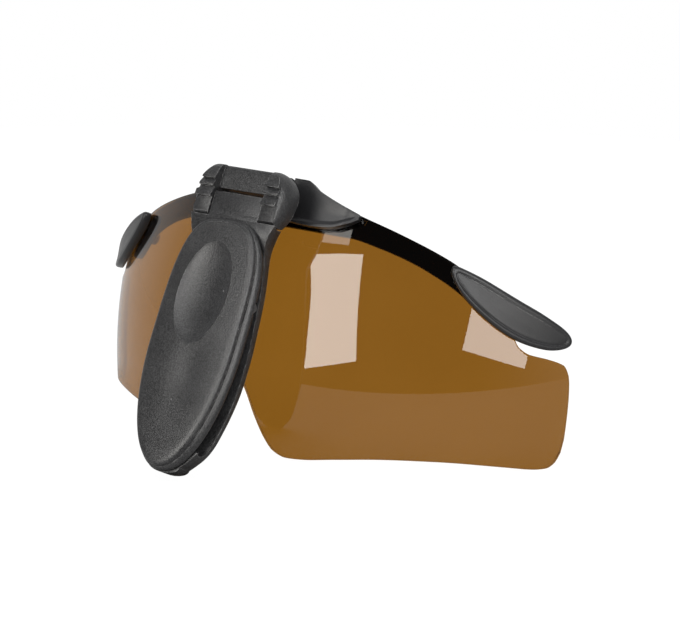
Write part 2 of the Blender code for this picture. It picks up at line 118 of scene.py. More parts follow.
BAR_END = 62.0
BAR_THICK = 2.2
BAR_BOTTOM = [(0.0, 19.3), (22.0, 19.2), (30.0, 18.0), (38.0, 16.1), (46.0, 13.2), (51.5, 10.5),
              (57.0, 6.6), (62.0, 4.4)]
BAR_TOP = [(0.0, 29.8), (8.0, 29.6), (14.0, 27.5), (24.0, 24.7), (35.0, 21.9), (47.5, 17.9), (54.0, 15.0),
           (58.0, 13.2), (62.0, 11.4)]
WING_ROOT = 6.2
WING_TIP = 24.8
WING_TOP = [(6.2, 30.0), (10.0, 29.9), (13.4, 28.1), (19.4, 25.8), (24.8, 24.1)]
WING_BOTTOM = [(6.2, 20.0), (13.2, 19.6), (18.3, 20.0), (22.6, 21.6), (24.8, 22.9)]
WING_THICK = 2.6
PAD_START = 48.3
PAD_END = 78.95
PAD_CENTRE = [(48.3, 15.7), (51.3, 13.4), (56.7, 10.4), (62.0, 7.9), (66.0, 6.4), (70.0, 5.3), (74.0, 4.4),
              (79.2, 3.7)]
PAD_HALF_WIDTH = 4.5
PAD_THICK = 2.1
SCREW_RADIUS = 0.8
SCREW_HEAD = 1.7
YOKE_SCREW = (3.2, 24.8)       # where the screws sit on the lens, right-hand side
WING_SCREW = (12.5, 23.6)
PAD_SCREW = (55.5, 10.8)
SCREWS = []
for piece, (across, up) in (("yoke", YOKE_SCREW), ("wing", WING_SCREW), ("pad", PAD_SCREW)):
    SCREWS += [(piece + "_screw_left", -across, up), (piece + "_screw_right", across, up)]


# ---------------------------------------------------------------- mesh tools

def spline(stations, at):
    """Smooth curve through a few stations, without overshoot between level ones."""
    x = np.array([s[0] for s in stations])
    y = np.array([s[1] for s in stations])
    step = np.diff(x)
    slope = np.diff(y) / step
    tangent = np.zeros(len(x))
    tangent[0] = slope[0]
    tangent[-1] = slope[-1]
    for i in range(1, len(x) - 1):
        if slope[i - 1] * slope[i] > 0:
            tangent[i] = 2.0 * slope[i - 1] * slope[i] / (slope[i - 1] + slope[i])
    i = int(np.clip(np.searchsorted(x, at) - 1, 0, len(x) - 2))
    t = min(max((at - x[i]) / step[i], 0.0), 1.0)
    rise = (2 * t**3 - 3 * t**2 + 1) * y[i] + (3 * t**2 - 2 * t**3) * y[i + 1]
    rise += (t**3 - 2 * t**2 + t) * step[i] * tangent[i]
    rise += (t**3 - t**2) * step[i] * tangent[i + 1]
    return float(rise)


def ease(low, high, value):
    """Smooth step from 0 at low to 1 at high."""
    t = min(max((value - low) / (high - low), 0.0), 1.0)
    return t * t * (3.0 - 2.0 * t)


def rounded_run(points, steps):
    """Catmull-Rom curve through the points of an open run."""
    ends = [points[0]] + list(points) + [points[-1]]
    run = []
    for i in range(1, len(ends) - 2):
        p0, p1, p2, p3 = (np.array(ends[i + k - 1], float) for k in range(4))
        for k in range(steps):
            t = k / steps
            square = (2 * p0 - 5 * p1 + 4 * p2 - p3) * t * t
            cube = (3 * p1 - p0 - 3 * p2 + p3) * t**3
            run.append(tuple(0.5 * (2 * p1 + (p2 - p0) * t + square + cube)))
    run.append(tuple(points[-1]))
    return run


def inward_normals(outline):
    """Unit normals of a closed outline that point into it."""
    pts = np.array(outline, float)
    along = np.roll(pts, -1, axis=0) - np.roll(pts, 1, axis=0)
    along /= np.linalg.norm(along, axis=1)[:, None]
    area = np.sum(pts[:, 0] * np.roll(pts[:, 1], -1) - np.roll(pts[:, 0], -1) * pts[:, 1])
    turn = 1.0 if area > 0 else -1.0
    return np.stack([-along[:, 1] * turn, along[:, 0] * turn], axis=1)


def clip_matrix():
    """Place of the clip's frame (x, -s, n) in the world."""
    place = Matrix.Translation((0.0, HINGE_Y * MM, HINGE_Z * MM))
    return place @ Matrix.Rotation(math.radians(90.0 - CLIP_TILT), 4, "X")


def lens_matrix():
    """Place of the lens's frame in the world: the foremost point of the lens, leaning back."""
    x, y, z = LENS_APEX
    place = Matrix.Translation((x * MM, (HINGE_Y + y) * MM, (HINGE_Z + z) * MM))
    return place @ Matrix.Rotation(math.radians(-LENS_TILT), 4, "X")


def shell_point(a, v, off):
    """Point on the wrapped lens surface, off = height above its outer face."""
    theta = a / RADIUS_ACROSS
    phi = math.asin(v / RADIUS_DOWN)
    reach = RADIUS_ACROSS - RADIUS_DOWN + (RADIUS_DOWN + off) * math.cos(phi)
    height = (RADIUS_DOWN + off) * math.sin(phi)
    return Vector((reach * math.sin(theta), RADIUS_ACROSS - reach * math.cos(theta), height))


def make(name, bm, matrix):
    """Turn a bmesh in millimetres into an object placed in the world."""
    bmesh.ops.recalc_face_normals(bm, faces=bm.faces)
    bm.transform(matrix @ Matrix.Scale(MM, 4))
    mesh = bpy.data.meshes.new(name)
    bm.to_mesh(mesh)
    bm.free()
    ob = bpy.data.objects.new(name, mesh)
    bpy.context.scene.collection.objects.link(ob)
    return ob


def skin(rings, first_pole=None, last_pole=None, closed=True):
    """Quads between rings of points. A pole closes an end with a fan."""
    bm = bmesh.new()
    rows = [[bm.verts.new(p) for p in ring] for ring in rings]
    count = len(rows[0])
    last = count if closed else count - 1
    for low, high in zip(rows[:-1], rows[1:]):
        for j in range(last):
            k = (j + 1) % count
            bm.faces.new((low[j], low[k], high[k], high[j]))
    for row, pole in ((rows[0], first_pole), (rows[-1], last_pole)):
        if pole is not None:
            tip = bm.verts.new(pole)
            for j in range(last):
                bm.faces.new((row[j], row[(j + 1) % count], tip))
    return bm


def loft_caps(rings):
    """Closed body: quads between rings and a flat face on each end."""
    bm = skin(rings)
    bm.verts.ensure_lookup_table()
    count = len(rings[0])
    bm.faces.new([bm.verts[j] for j in range(count)])
    bm.faces.new([bm.verts[len(bm.verts) - count + j] for j in range(count)])
    return bm


def prism(outline, low, high, across):
    """Extrude a closed outline. across = "n": outline is (x, s); "x": outline is (s, n)."""
    if across == "n":
        return loft_caps([[Vector((u, -v, level)) for u, v in outline] for level in (low, high)])
    return loft_caps([[Vector((level, -u, v)) for u, v in outline] for level in (low, high)])


def rod(radius, start, end, segments=48):
    """Cylinder between two points."""
    bm = bmesh.new()
    start = Vector(start)
    end = Vector(end)
    turn = (end - start).to_track_quat("Z", "Y").to_matrix().to_4x4()
    place = Matrix.Translation((start + end) / 2.0) @ turn
    bmesh.ops.create_cone(bm, cap_ends=True, segments=segments, radius1=radius, radius2=radius,
                          depth=(end - start).length, matrix=place)
    return bm


def bake(ob):
    """Keep the modified mesh and drop the modifiers."""
    bpy.context.view_layer.update()
    graph = bpy.context.evaluated_depsgraph_get()
    mesh = bpy.data.meshes.new_from_object(ob.evaluated_get(graph), depsgraph=graph)
    ob.modifiers.clear()
    ob.data = mesh
    return ob


def bevel(ob, width, segments=3, angle=35.0):
    """Round the edges sharper than the angle."""
    mod = ob.modifiers.new("Bevel", "BEVEL")
    mod.width = width * MM
    mod.segments = segments
    mod.limit_method = "ANGLE"
    mod.angle_limit = math.radians(angle)
    mod.miter_outer = "MITER_ARC"
    return bake(ob)


def combine(ob, others, operation):
    """Boolean with other objects, which are used up."""
    for other in others:
        mod = ob.modifiers.new(operation.title(), "BOOLEAN")
        mod.object = other
        mod.operation = operation
        mod.solver = "EXACT"
    bake(ob)
    for other in others:
        bpy.data.objects.remove(other, do_unlink=True)


def lens_hole(a, v, start, end):
    """Cutter for a screw hole square to the lens surface."""
    hole = rod(SCREW_RADIUS + GAP, shell_point(a, v, start), shell_point(a, v, end), 32)
    return make("hole", hole, lens_matrix())


def dress(ob, mat, body, slot, *nodes, sharp=32.0):
    """Finish a piece: smooth shading with sharp creases, its material and its place on the frame."""
    ob.data.materials.clear()
    ob.data.materials.append(mat)
    ob.data.polygons.foreach_set("use_smooth", [True] * len(ob.data.polygons))
    ob.data.set_sharp_from_angle(angle=math.radians(sharp))
    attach(ob, body)
    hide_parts(*nodes)


# ---------------------------------------------------------------- materials

class Wiring:
    """Short names for the nodes of a tree."""

    def __init__(self, tree):
        self.tree = tree

    def add(self, kind, **settings):
        node = self.tree.nodes.new("ShaderNode" + kind)
        for key, value in settings.items():
            setattr(node, key, value)
        return node

    def link(self, source, target):
        self.tree.links.new(source, target)

    def span(self, value, low, high, to_low, to_high, kind="LINEAR"):
        """Map the range low to high onto another range."""
        node = self.add("MapRange", interpolation_type=kind)
        self.link(value, node.inputs["Value"])
        node.inputs["From Min"].default_value = low
        node.inputs["From Max"].default_value = high
        node.inputs["To Min"].default_value = to_low
        node.inputs["To Max"].default_value = to_high
        return node.outputs["Result"]

    def math(self, operation, first, second):
        """Result of a math node on two inputs, each a number or a socket."""
        node = self.add("Math", operation=operation)
        for value, socket in ((first, node.inputs[0]), (second, node.inputs[1])):
            if isinstance(value, (int, float)):
                socket.default_value = value
            else:
                self.link(value, socket)
        return node.outputs[0]


class Look(Wiring):
    """A material with one Principled shader."""

    def __init__(self, name):
        self.mat = bpy.data.materials.new(name)
        self.mat.use_nodes = True
        super().__init__(self.mat.node_tree)
        self.tree.nodes.clear()
        self.out = self.add("OutputMaterial")
        self.bsdf = self.add("BsdfPrincipled")
        self.link(self.bsdf.outputs["BSDF"], self.out.inputs["Surface"])
        self.coord = self.add("TexCoord").outputs["Object"]

    def stretched(self, scale):
        """Object coordinates squeezed along an axis, for brushed or drawn-out patterns."""
        node = self.add("Mapping")
        node.inputs["Scale"].default_value = scale
        self.link(self.coord, node.inputs["Vector"])
        return node.outputs["Vector"]

    def noise(self, scale, detail, rough, vector=None):
        """Cloudy pattern of about 0 to 1. scale = features in a metre."""
        node = self.add("TexNoise")
        node.inputs["Scale"].default_value = scale
        node.inputs["Detail"].default_value = detail
        node.inputs["Roughness"].default_value = rough
        self.link(vector or self.coord, node.inputs["Vector"])
        return node.outputs["Fac"]

    def specks(self, scale, size):
        """Sparse dots, 1 inside a dot: dust and tiny scuffs."""
        cell = self.add("TexVoronoi")
        cell.inputs["Scale"].default_value = scale
        self.link(self.coord, cell.inputs["Vector"])
        near = self.span(cell.outputs["Distance"], size * 0.5, size, 1.0, 0.0)
        pick = self.add("SeparateColor")
        self.link(cell.outputs["Color"], pick.inputs["Color"])
        rare = self.span(pick.outputs["Red"], 0.93, 0.95, 0.0, 1.0)
        return self.math("MULTIPLY", near, rare)

    def blend(self, factor, low, high):
        """Colour between low and high, each a colour or a socket."""
        node = self.add("Mix", data_type="RGBA")
        self.link(factor, node.inputs["Factor"])
        for value, socket in ((low, node.inputs[6]), (high, node.inputs[7])):
            if isinstance(value, tuple):
                socket.default_value = value + (1.0,)
            else:
                self.link(value, socket)
        return node.outputs[2]

    def edges(self, radius):
        """1 on outer and inner edges sharper than the radius, 0 on open faces."""
        soft = self.add("Bevel", samples=6)
        soft.inputs["Radius"].default_value = radius
        flat = self.add("NewGeometry")
        dot = self.add("VectorMath", operation="DOT_PRODUCT")
        self.link(soft.outputs["Normal"], dot.inputs[0])
        self.link(flat.outputs["Normal"], dot.inputs[1])
        return self.span(dot.outputs["Value"], 0.985, 0.90, 0.0, 1.0)

    def bump(self, height, strength, distance):
        """Fine relief, distance in metres."""
        node = self.add("Bump")
        node.inputs["Strength"].default_value = strength
        node.inputs["Distance"].default_value = distance
        self.link(height, node.inputs["Height"])
        self.link(node.outputs["Normal"], self.bsdf.inputs["Normal"])

    def mix(self, factor, other):
        """Swap the Principled shader for another shader by a factor."""
        both = self.add("MixShader")
        self.link(factor, both.inputs["Fac"])
        self.link(self.bsdf.outputs["BSDF"], both.inputs[1])
        self.link(other, both.inputs[2])
        self.link(both.outputs["Shader"], self.out.inputs["Surface"])

    def set(self, **values):
        """Plain values of the shader, named with _ for a space."""
        for key, value in values.items():
            self.bsdf.inputs[key.replace("_", " ")].default_value = value


def moulded_plastic(name, dark, light, edge_wear_and_highlight, rough, grain, depth, specular=0.5):
    """Spark-eroded moulded plastic: fine grain, faint patches from handling, pale edges that are partly
    wear and partly a painted highlight, dust.
    """
    m = Look(name)
    fine = m.noise(grain, 3.0, 0.6)
    patches = m.noise(140.0, 4.0, 0.6)
    tone = m.math("ADD", m.math("MULTIPLY", fine, 0.85), m.math("MULTIPLY", patches, 0.15))
    colour = m.blend(m.span(tone, 0.40, 0.62, 0.0, 1.0), dark, light)
    # pale colour on the sharp edges, broken up by noise: partly edge wear, partly a painted highlight
    # along the edges
    broken = m.span(m.noise(700.0, 3.0, 0.7), 0.42, 0.62, 0.0, 0.8)
    colour = m.blend(m.math("MULTIPLY", m.edges(0.00022), broken), colour, edge_wear_and_highlight)
    colour = m.blend(m.specks(420.0, 0.055), colour, tuple(1.5 * c for c in edge_wear_and_highlight))
    m.link(colour, m.bsdf.inputs["Base Color"])
    sheen = m.span(m.math("ADD", fine, patches), 0.7, 1.3, rough[0], rough[1])
    m.link(sheen, m.bsdf.inputs["Roughness"])
    m.bump(fine, 0.55, depth)
    m.set(Specular_IOR_Level=specular)
    return m.mat


def gloss_black():
    """Polished black moulding of the brow bar: faint orange peel and drawn-out wiping marks."""
    m = Look("brow_gloss")
    wipe = m.noise(260.0, 3.0, 0.6, m.stretched((0.25, 1.0, 2.2)))
    colour = m.blend(m.span(wipe, 0.4, 0.6, 0.0, 1.0), (0.002, 0.002, 0.0021), (0.004, 0.004, 0.0042))
    m.link(colour, m.bsdf.inputs["Base Color"])
    m.link(m.span(wipe, 0.35, 0.7, 0.10, 0.20), m.bsdf.inputs["Roughness"])
    m.bump(m.noise(1100.0, 2.0, 0.5), 0.12, 0.00002)
    m.set(Specular_IOR_Level=0.1)
    return m.mat


def tinted_lens():
    """Brown moulded lens. Lamps shine through it, so that it doesn't leave a solid shadow."""
    m = Look("lens_amber")
    drift = m.span(m.noise(28.0, 2.0, 0.5), 0.35, 0.65, 0.0, 1.0)
    colour = m.blend(drift, (0.238, 0.100, 0.0105), (0.252, 0.108, 0.0125))
    m.link(colour, m.bsdf.inputs["Base Color"])
    m.link(m.span(m.noise(900.0, 4.0, 0.65), 0.5, 0.8, 0.004, 0.012), m.bsdf.inputs["Roughness"])
    m.set(Transmission_Weight=1.0, IOR=1.50)
    clear = m.add("BsdfTransparent")
    clear.inputs["Color"].default_value = (0.60, 0.42, 0.16, 1.0)
    path = m.add("LightPath")
    passing = m.math("MAXIMUM", path.outputs["Is Shadow Ray"], path.outputs["Is Diffuse Ray"])
    m.mix(passing, clear.outputs["BSDF"])
    return m.mat


def turned_steel():
    """Small plated screws and the hinge pin: fine turning marks and a little tarnish."""
    m = Look("plated_steel")
    marks = m.noise(5200.0, 2.0, 0.5)
    tarnish = m.span(m.noise(900.0, 4.0, 0.6), 0.4, 0.65, 0.0, 1.0)
    m.link(m.blend(tarnish, (0.52, 0.52, 0.54), (0.36, 0.35, 0.34)), m.bsdf.inputs["Base Color"])
    m.link(m.span(marks, 0.3, 0.7, 0.22, 0.42), m.bsdf.inputs["Roughness"])
    m.bump(marks, 0.25, 0.00001)
    m.set(Metallic=1.0)
    return m.mat


def matte_white():
    """Table top that looks bright white, also through the lens, but throws little light back up."""
    m = Look("table_white")
    colour = m.blend(m.noise(6.0, 3.0, 0.5), (0.40, 0.40, 0.40), (0.43, 0.43, 0.43))
    m.link(colour, m.bsdf.inputs["Base Color"])
    m.set(Roughness=0.9, Specular_IOR_Level=0.0)
    glow = m.add("Emission")
    glow.inputs["Strength"].default_value = TABLE_GLOW
    path = m.add("LightPath")
    seen = m.math("MAXIMUM", path.outputs["Is Camera Ray"], path.outputs["Is Transmission Ray"])
    m.mix(m.math("MULTIPLY", seen, TABLE_GLOW_SHARE), glow.outputs["Emission"])
    return m.mat


# the edge colour given to each plastic is partly wear and partly a painted edge highlight; the dust specks
# are a brighter shade of it
CLIP_PLASTIC = moulded_plastic("clip_plastic", dark=(0.003, 0.003, 0.0035), light=(0.028, 0.028, 0.029),
                               edge_wear_and_highlight=(0.24, 0.24, 0.24), rough=(0.30, 0.39), grain=3000.0, depth=0.00016)
TRIM_PLASTIC = moulded_plastic("trim_plastic", dark=(0.010, 0.010, 0.011), light=(0.016, 0.016, 0.017),
                               edge_wear_and_highlight=(0.10, 0.10, 0.10), rough=(0.30, 0.38), grain=5200.0, depth=0.00002,
                               specular=0.28)
RIB_PLASTIC = moulded_plastic("rib_plastic", dark=(0.030, 0.030, 0.031), light=(0.045, 0.045, 0.046),
                              edge_wear_and_highlight=(0.15, 0.15, 0.15), rough=(0.55, 0.70), grain=3800.0, depth=0.00005)
BAR_GLOSS = gloss_black()
LENS_AMBER = tinted_lens()
STEEL = turned_steel()


# ---------------------------------------------------------------- the clip

def paddle_outline(angle):
    """Egg-shaped plan of the paddle, squarer at the hinge end."""
    c = math.cos(angle)
    d = math.sin(angle)
    power = 3.2 if d > 0 else 2.05
    reach = PADDLE_MIDDLE - PADDLE_TOP if d > 0 else PADDLE_TIP - PADDLE_MIDDLE
    r = (abs(c) ** power + abs(d) ** power) ** (-1.0 / power)
    return PADDLE_HALF_WIDTH * r * c, PADDLE_MIDDLE - reach * r * d


def dimple_place(x, s):
    """Position in the thumb dimple's own frame, where its rim is the unit circle."""
    dx = x - DIMPLE_CENTRE[0]
    ds = s - DIMPLE_CENTRE[1]
    p = (dx * math.cos(DIMPLE_LEAN) + ds * math.sin(DIMPLE_LEAN)) / DIMPLE_HALF[0]
    q = (ds * math.cos(DIMPLE_LEAN) - dx * math.sin(DIMPLE_LEAN)) / DIMPLE_HALF[1]
    return p, q


def dimple_rim(p, q):
    """Back from the dimple's own frame to (x, s)."""
    x = p * DIMPLE_HALF[0] * math.cos(DIMPLE_LEAN) - q * DIMPLE_HALF[1] * math.sin(DIMPLE_LEAN)
    s = p * DIMPLE_HALF[0] * math.sin(DIMPLE_LEAN) + q * DIMPLE_HALF[1] * math.cos(DIMPLE_LEAN)
    return DIMPLE_CENTRE[0] + x, DIMPLE_CENTRE[1] + s


def paddle_face(x, s):
    """Front of the paddle: a shallow crown, a thumb dimple and a hollow below it."""
    along = (s - CROWN_CENTRE) / CROWN_HALF_LENGTH
    crown = CROWN_RISE * (1.0 - (x / PADDLE_HALF_WIDTH) ** 2) * (1.0 - 0.6 * along * along)
    r = math.hypot(*dimple_place(x, s))
    dimple = DIMPLE_DEPTH * (1.0 - r * r) ** 0.8 if r < 1.0 else 0.0
    dx = (x - HOLLOW_CENTRE[0]) / HOLLOW_HALF[0]
    ds = (s - HOLLOW_CENTRE[1]) / HOLLOW_HALF[1]
    hollow = HOLLOW_DEPTH * math.exp(-(dx**2) - ds**2)
    return crown - dimple - hollow


# rim of the paddle as (distance inside the outline, height): the edge of the face, a fine groove,
# and below it a rounded band that flares out to the outline. The groove fades out near the tip.
PADDLE_RIM = [(2.9, 0.0), (2.3, 0.0), (1.9, -0.02), (1.65, -0.08), (1.48, -0.18), (1.36, -0.32),
              (1.28, -0.5), (1.24, -0.68), (1.2, -0.85), (1.46, -0.93), (1.46, -1.12), (1.1, -1.12),
              (0.85, -1.2), (0.5, -1.42), (0.2, -1.82), (0.03, -2.3), (0.03, -2.75), (0.25, -3.05),
              (0.9, -3.2)]
GROOVE_START = 8
GROOVE_END = 11
# rings of the dimple from its middle to its rim, and of the underside from the rim to the middle
DIMPLE_RINGS = [0.06, 0.14, 0.23, 0.32, 0.41, 0.5, 0.58, 0.66, 0.73, 0.79, 0.84, 0.88, 0.915, 0.945, 0.97,
                0.987, 1.0]
UNDER_RINGS = [0.95, 0.87, 0.75, 0.55, 0.3, 0.1]


def paddle_under(s):
    """Underside of the paddle: thin over the base at the hinge end, full depth below."""
    return -PADDLE_LIP_THICK - (PADDLE_THICK - PADDLE_LIP_THICK) * ease(9.2, 15.5, s)


def paddle_section(s, angle):
    """Rim of the paddle where its outline passes s, at an angle about the middle."""
    fade = 1.0 - ease(54.0, 62.0, s)
    narrow = 1.0 - (0.7 if angle < math.pi else 0.3) * math.sin(angle) ** 2
    shrink = -paddle_under(s) / PADDLE_THICK
    section = []
    for k, (inside, height) in enumerate(PADDLE_RIM):
        if GROOVE_START < k < GROOVE_END:
            share = (k - GROOVE_START) / (GROOVE_END - GROOVE_START)
            before = PADDLE_RIM[GROOVE_START]
            after = PADDLE_RIM[GROOVE_END]
            level = [before[i] * (1.0 - share) + after[i] * share for i in (0, 1)]
            inside = level[0] + (inside - level[0]) * fade
            height = level[1] + (height - level[1]) * fade
        section.append((inside * narrow, height * shrink))
    return section


def build_paddle():
    """Rings run from the middle of the dimple to the face's edge, then round the rim and under."""
    count = 256
    angles = [math.tau * (j + 0.5) / count for j in range(count)]
    outline = [paddle_outline(angle) for angle in angles]
    normals = inward_normals(outline)
    sections = [paddle_section(s, angle) for (x, s), angle in zip(outline, angles)]
    rims = []
    for x, s in outline:
        p, q = dimple_place(x, s)
        rims.append((p / math.hypot(p, q), q / math.hypot(p, q)))

    def at(j, inside, height, share):
        x = outline[j][0] + normals[j][0] * inside
        s = outline[j][1] + normals[j][1] * inside
        return Vector((x, -s, height + paddle_face(x, s) * share))

    rings = []
    for t in DIMPLE_RINGS:
        spots = [dimple_rim(p * t, q * t) for p, q in rims]
        rings.append([Vector((x, -s, paddle_face(x, s))) for x, s in spots])
    face_steps = 26
    for k in range(1, face_steps):
        t = (k / face_steps) ** 1.15
        ring = []
        for j in range(count):
            x0, s0 = dimple_rim(*rims[j])
            edge = at(j, sections[j][0][0], 0.0, 0.0)
            x = x0 * (1.0 - t) + edge.x * t
            s = s0 * (1.0 - t) - edge.y * t
            ring.append(Vector((x, -s, paddle_face(x, s))))
        rings.append(ring)
    for k in range(len(PADDLE_RIM)):
        lift = ease(GROOVE_END + 2, GROOVE_START, k)
        ring = []
        for j in range(count):
            inside, height = sections[j][k]
            ring.append(at(j, inside, height, ease(0.0, 2.6, inside) * lift))
        rings.append(ring)
    last = rings[-1]
    for t in UNDER_RINGS:
        ring = []
        for edge in last:
            s = PADDLE_MIDDLE + (-edge.y - PADDLE_MIDDLE) * t
            ring.append(Vector((edge.x * t, -s, paddle_under(s))))
        rings.append(ring)
    crown = Vector((DIMPLE_CENTRE[0], -DIMPLE_CENTRE[1], paddle_face(*DIMPLE_CENTRE)))
    under = Vector((0.0, -PADDLE_MIDDLE, -PADDLE_THICK))
    paddle = make("paddle_shell", skin(rings, crown, under), clip_matrix())
    wide = 14.5
    start = RIB_AT - 1.5
    end = RIB_AT + 1.5
    groove = prism([(-wide, start), (wide, start), (wide, end), (-wide, end)], -4.2, -2.4, "n")
    combine(paddle, [make("rib_groove", groove, clip_matrix())], "DIFFERENCE")
    dress(paddle, CLIP_PLASTIC, "paddle", "clip", "clip_paddle", sharp=38.0)


def base_face(s):
    """Front plane of the base: it drops under the paddle, then falls away towards the slot root."""
    return BASE_FACE - 2.1 * ease(8.6, 16.0, s) - 0.055 * max(s - 8.0, 0.0)


def base_plan():
    """Plan of the base: tongue, shoulders, waist and rounded tip."""
    edge = [(spline(BASE_HALF_WIDTH, s), s) for s in np.linspace(5.0, 65.2, 90)]
    for k in range(1, 17):
        turn = math.pi / 2.0 * k / 16.0
        edge.append((4.7 * math.cos(turn), 65.2 + (BASE_TIP - 65.2) * math.sin(turn)))
    plan = [(-TONGUE_HALF_WIDTH, -3.0), (TONGUE_HALF_WIDTH, -3.0), (TONGUE_HALF_WIDTH, 5.0)] + edge
    plan += [(-x, s) for x, s in reversed(edge[:-1])]
    plan.append((-TONGUE_HALF_WIDTH, 5.0))
    return plan


def base_side():
    """Side view of the base, hinge barrel included."""
    fine = 18
    side = [(0.2, AXIS_N), (0.2, BASE_FACE), (8.6, BASE_FACE)]
    side += [(s, base_face(s)) for s in np.linspace(9.0, 16.4, 14)]
    middle = (base_face(60.0) - PADDLE_THICK - GAP) / 2.0
    radius = middle - base_face(60.0)
    for k in range(fine + 1):
        turn = math.radians(-90.0 + 140.0 * k / fine)
        side.append((SLOT_ROOT - radius + radius * math.cos(turn), middle + radius * math.sin(turn)))
    side.append((side[-1][0], -PADDLE_THICK - GAP))
    side += [(70.0, -PADDLE_THICK - GAP), (70.0, -6.4), (66.4, -7.5), (60.0, -7.8), (31.0, -6.9),
             (17.0, -6.4), (12.0, -6.0), (8.5, -5.3), (6.2, -4.95)]
    for k in range(fine + 1):
        turn = math.radians(-28.0 - 142.0 * k / fine)
        side.append((AXIS_S + BARREL_RADIUS * math.cos(turn), AXIS_N + BARREL_RADIUS * math.sin(turn)))
    return side


def on_axis(x):
    """Point on the hinge axis."""
    return x, -AXIS_S, AXIS_N


def build_base():
    """Base: where its side view and its plan meet, less the pin's bore and the room the ears sweep."""
    base = make("base_body", prism(base_side(), -16.0, 16.0, "x"), clip_matrix())
    plan = make("base_plan", prism(base_plan(), -14.0, 4.0, "n"), clip_matrix())
    combine(base, [plan], "INTERSECT")
    cutters = [make("bore", rod(PIN_RADIUS + GAP, on_axis(-9.0), on_axis(9.0)), clip_matrix())]
    for sign in (-1.0, 1.0):
        sweep = rod(EAR_SWEEP, on_axis(sign * (TONGUE_HALF_WIDTH + 0.01)), on_axis(sign * 17.0), 96)
        cutters.append(make("sweep", sweep, clip_matrix()))
    combine(base, cutters, "DIFFERENCE")
    bevel(base, 0.22, 2, 40.0)
    dress(base, CLIP_PLASTIC, "clip", "clip", "clip_base")


def ear_outline():
    """Side of one yoke ear: a foot concentric with the hinge, three grip steps, then a rounded crown."""
    outline = []
    for k in range(17):
        turn = math.radians(-20.0 + 60.8 * k / 16.0)
        outline.append((AXIS_S + EAR_FOOT * math.cos(turn), AXIS_N + EAR_FOOT * math.sin(turn)))
    outline += [(1.95, -1.35), (1.95, -0.5), (1.5, -0.45), (-0.6, -1.3), (-0.6, -0.4), (-1.05, -0.35),
                (-2.5, -1.15), (-2.5, -0.4), (-2.95, -0.4)]
    outline += rounded_run([(-5.5, -1.3), (-6.4, -2.3), (-6.7, -3.6), (-6.3, -5.2), (-5.0, -6.4),
                            (-3.0, -7.1), (-1.0, -7.2), (1.0, -6.95), (3.0, -6.35), (4.9, -5.7)], 6)
    return outline


# how far the rounding of an ear's outer side reaches in, as (level, inset)
EAR_ROUNDING = [(1.0, 1.7), (-1.25, 1.5), (-1.7, 1.0), (-2.4, 0.5), (-3.4, 0.12), (-4.4, 0.0), (-9.0, 0.0)]


def ear(sign):
    """One ear, with its outer top corner and its outer side rounded off."""
    body = make("ear", prism(ear_outline(), sign * EAR_INNER, sign * EAR_OUTER, "x"), clip_matrix())
    rings = []
    for level, inset in EAR_ROUNDING:
        ring = []
        for k in range(25):
            turn = math.pi / 2.0 * k / 24.0
            x = EAR_CORNER[0] + (EAR_CORNER_REACH[0] - inset) * math.sin(turn)
            s = EAR_CORNER[1] - (EAR_CORNER_REACH[1] - 0.5 * inset) * math.cos(turn)
            ring.append((x, s))
        ring += [(13.1 - inset, 1.6), (13.0 - 0.8 * inset, 3.2), (12.8 - 0.6 * inset, 4.4),
                 (12.1 - 0.4 * inset, 6.6), (14.0, 6.6), (14.0, -8.0), (EAR_CORNER[0], -8.0)]
        rings.append([Vector((sign * x, -s, level)) for x, s in ring])
    combine(body, [make("corner", loft_caps(rings), clip_matrix())], "DIFFERENCE")
    return bevel(body, 0.2, 3, 40.0)


def shell_box(a0, a1, v0, v1, low, high, across, up):
    """Block bounded by two offsets of the lens surface."""
    rings = []
    for off in (low, high):
        ring = []
        for k in range(across):
            ring.append((a0 + (a1 - a0) * k / across, v0))
        for k in range(up):
            ring.append((a1, v0 + (v1 - v0) * k / up))
        for k in range(across):
            ring.append((a1 + (a0 - a1) * k / across, v1))
        for k in range(up):
            ring.append((a0, v1 + (v0 - v1) * k / up))
        rings.append([shell_point(a, v, off) for a, v in ring])
    return loft_caps(rings)


def build_yoke():
    """Two ears joined by a web, and an arm behind the web that ends in a block on the lens."""
    place = clip_matrix()
    yoke = ear(1.0)
    yoke.name = "yoke_body"
    web = rounded_run([(-0.9, -3.0), (-2.4, -2.92), (-4.4, -2.92), (-5.9, -3.05), (-6.6, -3.6),
                       (-6.6, -4.6), (-6.0, -5.3)], 4)
    web = prism(web + [(-0.9, -5.4)], -EAR_INNER - 0.8, EAR_INNER + 0.8, "x")
    web = bevel(make("web", web, place), 0.15, 3, 40.0)
    arm = [(-1.6, -4.8), (-5.8, -4.8), (-6.6, -9.0), (-7.0, -11.4), (-7.0, -12.6), (1.2, -12.6),
           (0.4, -10.8), (-1.2, -8.6)]
    arm = bevel(make("arm", prism(arm, -5.6, 5.6, "x"), place), 0.25, 3, 30.0)
    block = make("block", shell_box(*YOKE_BLOCK, GAP, 3.2, 8, 4), lens_matrix())
    block = bevel(block, 0.2, 2, 40.0)
    combine(yoke, [ear(-1.0), web, arm, block], "UNION")
    holes = []
    for sign in (-1.0, 1.0):
        holes.append(make("bore", rod(PIN_RADIUS + GAP, on_axis(sign * 6.6), on_axis(sign * 11.2)), place))
        holes.append(lens_hole(sign * YOKE_SCREW[0], YOKE_SCREW[1], -0.5, 2.2))
    combine(yoke, holes, "DIFFERENCE")
    dress(yoke, CLIP_PLASTIC, "visor", "clip", "yoke")


# ---------------------------------------------------------------- the lens and its frame

